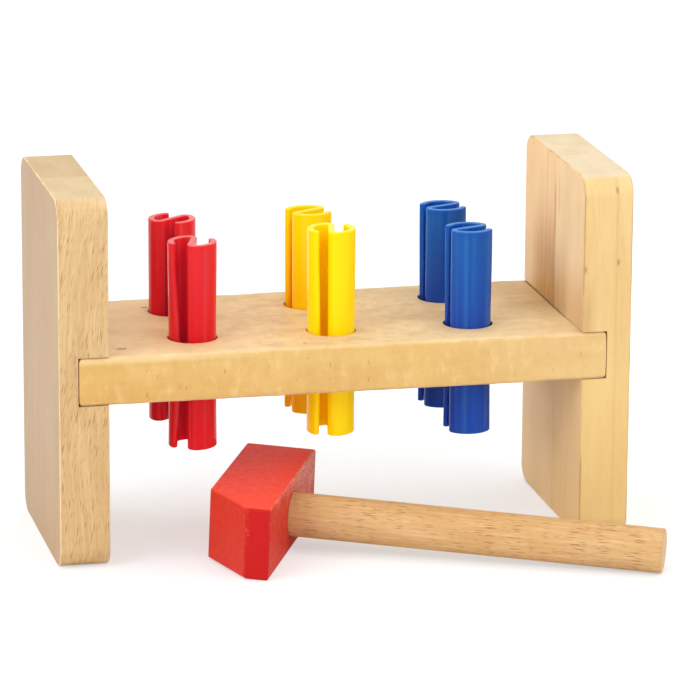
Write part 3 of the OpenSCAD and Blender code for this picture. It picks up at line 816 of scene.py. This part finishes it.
def soft_lamp(name, place, aim, width, height, power):
    """Rectangular area lamp at a place, turned to a point; its width and height in metres, its power in watts."""
    data = bpy.data.lights.new(name, "AREA")
    data.shape, data.size, data.size_y, data.energy = "RECTANGLE", width, height, power
    lamp = bpy.data.objects.new(name, data)
    back = np.array(place, float) - np.array(aim, float)
    back /= np.linalg.norm(back)
    right = np.cross([0, 0, 1], back)
    right /= np.linalg.norm(right)
    turn = Matrix(np.stack([right, np.cross(back, right), back], 1).tolist()).to_4x4()
    lamp.matrix_world = Matrix.Translation(place) @ turn
    bpy.context.scene.collection.objects.link(lamp)


def white_studio():
    """White floor that keeps the shadows, a white world, and soft lamps at a plain level."""
    scene = bpy.context.scene
    scene.view_settings.view_transform = "Standard"
    world = bpy.data.worlds.new("white_studio")
    world.use_nodes = True
    scene.world = world
    tree = world.node_tree
    tree.nodes.clear()
    path = add(tree, "LightPath")
    seen = calc(tree, "MAXIMUM", path["Is Camera Ray"], path["Is Transmission Ray"])
    strength = remap(tree, seen, 0.0, 1.0, SKY_LIGHT, 1.0)
    sky = add(tree, "Background", {"Color": (1, 1, 1), "Strength": strength})
    add(tree, "OutputWorld", {"Surface": sky[0]})
    floor_mesh = bpy.data.meshes.new("floor")
    corners = [(FLOOR_REACH * x, FLOOR_REACH * y, 0) for x, y in ((-1, -1), (1, -1), (1, 1), (-1, 1))]
    floor_mesh.from_pydata(corners, [], [(0, 1, 2, 3)])
    floor = bpy.data.objects.new("floor", floor_mesh)
    scene.collection.objects.link(floor)
    material, tree = new_material("white_floor")
    seen = add(tree, "LightPath")["Is Camera Ray"]
    base = add(tree, "BsdfDiffuse", {"Color": tint(tree, seen, FLOOR_LIT, FLOOR_SEEN)})
    glow = add(tree, "Emission", {"Color": (1, 1, 1), "Strength": times(tree, seen, FLOOR_GLOW)})
    both = add(tree, "AddShader", {0: base[0], 1: glow[0]})
    add(tree, "OutputMaterial", {"Surface": both[0]})
    floor_mesh.materials.append(material)
    soft_lamp("key_front_right", (0.9, -1.5, 1.5), (0, 0, 0.06), 1.2, 1.2, 7.2)
    soft_lamp("fill_left", (-1.6, -0.9, 1.0), (0, 0, 0.06), 1.4, 1.4, 17)
    soft_lamp("overhead", (0.0, 0.3, 1.9), (0, 0, 0.05), 1.6, 1.6, 9)
    soft_lamp("strip_right", (1.65, -0.9, 0.8), (0, 0, 0.07), 0.22, 1.2, 3.5)
    soft_lamp("strip_left", (-1.5, 1.1, 0.8), (0, 0, 0.07), 0.22, 1.2, 3.0)


# The bench

place_camera()
white_studio()

# Marks near the inner face of the right panel only, small knots on its front edge (X and Z), and the plank's top
ON_INNER, KNOTS, ON_TOP = (LEFT, -96, -91), ((98.0, 129.1), (98.8, 102.7), (86.7, 100.4)), (DOWN, -74, -76)
# Washes of each stave, stains but for INNER: colour, strength and limits in millimetres along the grain's axes
STAVE_WASHES = {
    # INNER lightens the left staves' inner faces, taking off there the painted shade of their patch tones
    "left_front_stave": [(HEART, 0.12, ((UP, 55, 10),)), (INNER, 0.6, ((LEFT, 92, 88), (BACK, -40, -38.5)))],
    "left_rear_stave": [(INNER, 0.6, ((LEFT, 92, 88), (BACK, 40, 38.5)))],
    "right_front_stave": [
        (RED_LINE, 0.45, (*band(BACK, -7.4, -5.6, 0.5), (UP, 110, 118), (UP, 131, 125), ON_INNER)),
        (HEART, 0.16, band(LEFT, -99.0, -97.4, 0.5)),
        (PALE, 0.25, ((BACK, -20, -4), (UP, 140, 130))),
        (BROWN_FOOT, 0.45, ((UP, 104, 82), (UP, 60, 76), (LEFT, -92, -88))),
        (YELLOW_FOOT, 0.4, ((UP, 82, 50),)),
        *((FLECK, 0.75, (*band(LEFT, -x - 0.9, 0.9 - x, 0.9), *band(UP, z - 2, z + 2, 2), (BACK, -38, -40)))
          for x, z in KNOTS),
    ],
    "right_rear_stave": [
        (PALE, 0.5, ((UP, 62, 40),)),
        (WARM, 0.85, ((BACK, 34, 18), (UP, 122, 87), (UP, 38, 76), (LEFT, -97, -90))),
        (RED_LINE, 0.55, ((BACK, 0.4, -0.8), (UP, 98, 108), (UP, 128, 118), ON_INNER)),
        (RED_LINE, 0.25, (*band(BACK, 8.8, 11.2, 0.8), (UP, 82, 96), ON_INNER)),
    ],
}
# Side, whether in front, depth of the housing and seed of each stave; strengths of its dashes, patches and
# streaks; its arris; and a pale and a tan colour of its faces
# Painted shade: the left staves' patch tones, on their outer and inner faces, are darker, as shade on the outer face
LEFT_DASH = (0.72, 0.495, 0.242), (0.655, 0.418, 0.188)
STAVES = {
    "left_front_stave": (-1, True, 11.0, 31, (1.0, 0.1, 0.03), PALE_ARRIS, {
        "dash": LEFT_DASH,
        "patch": ((0.508, 0.346, 0.203), (0.483, 0.319, 0.181)),
        "end": ((0.72, 0.55, 0.31), (0.68, 0.49, 0.26)),
    }),
    "left_rear_stave": (-1, False, 11.0, 32, (1.0, 0.1, 0.03), PALE_ARRIS, {
        "dash": LEFT_DASH,
        "patch": ((0.498, 0.34, 0.207), (0.47, 0.314, 0.184)),
        "end": ((0.65, 0.475, 0.262), (0.6, 0.415, 0.212)),
    }),
    "right_front_stave": (1, True, 9.2, 33, (0.12, 0.2, 0.07), BROWN_ARRIS, {
        "dash": ((0.87, 0.62, 0.285), (0.8, 0.54, 0.225)),
        "patch": ((0.87, 0.62, 0.345), (0.8, 0.54, 0.28)),
        "end": ((0.82, 0.68, 0.45), (0.77, 0.61, 0.38)),
    }),
    "right_rear_stave": (1, False, 9.2, 34, (0.3, 0.25, 0.05), BROWN_ARRIS, {
        "dash": ((0.8, 0.52, 0.25), (0.7, 0.43, 0.19)),
        "patch": ((0.92, 0.63, 0.33), (0.84, 0.55, 0.27)),
        "end": ((0.82, 0.68, 0.45), (0.76, 0.59, 0.36)),
    }),
}
for node, (side, front, housing, seed, figure, arris, tones) in STAVES.items():
    points, faces = stave(node, side, front, housing, seed)
    shift = (seed * 0.37, seed * 0.11, seed * 0.5)
    wood = beech(f"beech_{node}", GRAIN_UP, tones, figure, shift, arris, STAVE_WASHES[node], lean=0.14)
    make_piece(f"{node}_board", points, faces, node, "bench", wood, crease=BOARD_CREASE)

plank_tones = {
    "dash": ((0.86, 0.635, 0.34), (0.78, 0.54, 0.27)),
    "patch": ((0.78, 0.505, 0.175), (0.69, 0.4, 0.115)),
    "end": ((0.7, 0.46, 0.24), (0.62, 0.38, 0.18)),
}
plank_washes = [
    # the second PALE wash is painted light: it lightens the top towards the left panel, against that panel's shade
    (PALE, 0.3, ((ALONG, 15, 80),)), (PALE, 0.5, ((ALONG, -20, -70), ON_TOP)),
    # this HEART wash is both a heartwood stain and painted shade beside the right panel
    (HEART, 0.4, ((ALONG, 60, 76), ON_TOP, (DEEP, -10, 5))),
    (PITH, 0.8, ((ALONG, 85.0, 85.7), ON_TOP, (DEEP, -36, 0))),
    (PITH, 0.9, (*band(ALONG, -81.8, -77.6, 0.8), *band(DEEP, -30.9, -28.6, 0.8), ON_TOP)),
    (PITH, 0.7, (*band(ALONG, -62.6, -59.7, 0.6), *band(DEEP, 25.6, 27.8, 0.7), ON_TOP)),
    (PITH, 0.7, (*band(ALONG, -15.5, -13.5, 0.5), *band(DEEP, -35.5, -33.7, 0.6), ON_TOP)),
]
plank_wood = beech("beech_plank", GRAIN_ALONG, plank_tones, (0.3, 0.7, 0.1), (1.3, 0.4, 6.0), PLANK_EDGE, plank_washes,
                   mottle=0.35)
points, faces = drilled_plank()
make_piece("plank_board", points, faces, "plank", "bench", plank_wood, crease=BOARD_CREASE)

# Each colour's upper tones, foot and rim painted as shade and highlight, light's reach and share inside, painted glow
PLASTICS = {
    "red_plastic": (
        (0.7, 0.021, 0.022), (0.62, 0.012, 0.016), (0.66, 0.003, 0.004), (0.72, 0.21, 0.2),
        (1.0, 0.2, 0.15), 0.75, (0.06, 0.003, 0.008),
    ),
    "yellow_plastic": (
        (0.97, 0.76, 0.0), (0.96, 0.7, 0.0), (0.96, 0.7, 0.0), (0.95, 0.8, 0.03),
        (1.0, 0.6, 0.1), 0.0, (0.11, 0.04, 0.0),
    ),
    # painted shade: a darker copy of the yellow plastic, for the back peg
    "shaded_yellow_plastic": (
        (0.95, 0.74, 0.0), (0.93, 0.67, 0.0), (0.93, 0.58, 0.0), (0.9, 0.74, 0.02),
        (1.0, 0.6, 0.1), 0.0, (0.11, 0.02, 0.0),
    ),
    "blue_plastic": (
        (0.012, 0.12, 0.42), (0.01, 0.09, 0.36), (0.013, 0.07, 0.44), (0.045, 0.23, 0.52),
        (0.1, 0.3, 1.0), 0.75, (0, 0, 0),
    ),
}
plastics = {name: extruded_plastic(name, *look) for name, look in PLASTICS.items()}
plank_middle = sum(corner[2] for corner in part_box("plank")) / 2 / MM
for node, (turn, upended, slot, squeeze) in PEGS.items():
    low, high = (np.array(corner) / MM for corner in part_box(node))
    colour, _, row = node.split("_")
    points, faces, marks = s_peg(high[2] - low[2], turn, upended, slot, squeeze, plank_middle - low[2])
    points = points + [(low[0] + high[0]) / 2, (low[1] + high[1]) / 2, low[2]]
    # the back yellow peg takes the darker copy, painted shade
    look = plastics["shaded_yellow_plastic" if node == "yellow_peg_back" else f"{colour}_plastic"]
    make_piece(f"{node}_sprung", points, faces, node, f"{colour}_{row}", look, marks)

hammer_spin, hammer_place = hammer_pose()
points, faces, marks = hammer_head()
make_piece("hammer_head_block", points, faces, "hammer_head", "hammer", red_paint("red_paint"), marks)
handle_colours = (0.73, 0.465, 0.22), (0.66, 0.385, 0.16)
handle_tones = {
    "dash": handle_colours, "patch": handle_colours, "end": ((0.8, 0.58, 0.34), (0.72, 0.48, 0.26)),
}
handle_wood = beech("beech_handle", Matrix(hammer_spin.T.tolist()).to_euler(), handle_tones, (1.0, 0.0, 0.15),
                    (3.3, 2.2, 9.0), NO_ARRIS, fleck=(0.32, 0.125, 0.03), roughness=0.62, gloss=0.15,
                    wander=0.001, all_round=True)
points, faces, marks = hammer_handle()
make_piece("hammer_handle_dowel", points, faces, "hammer_handle", "hammer", handle_wood, marks)
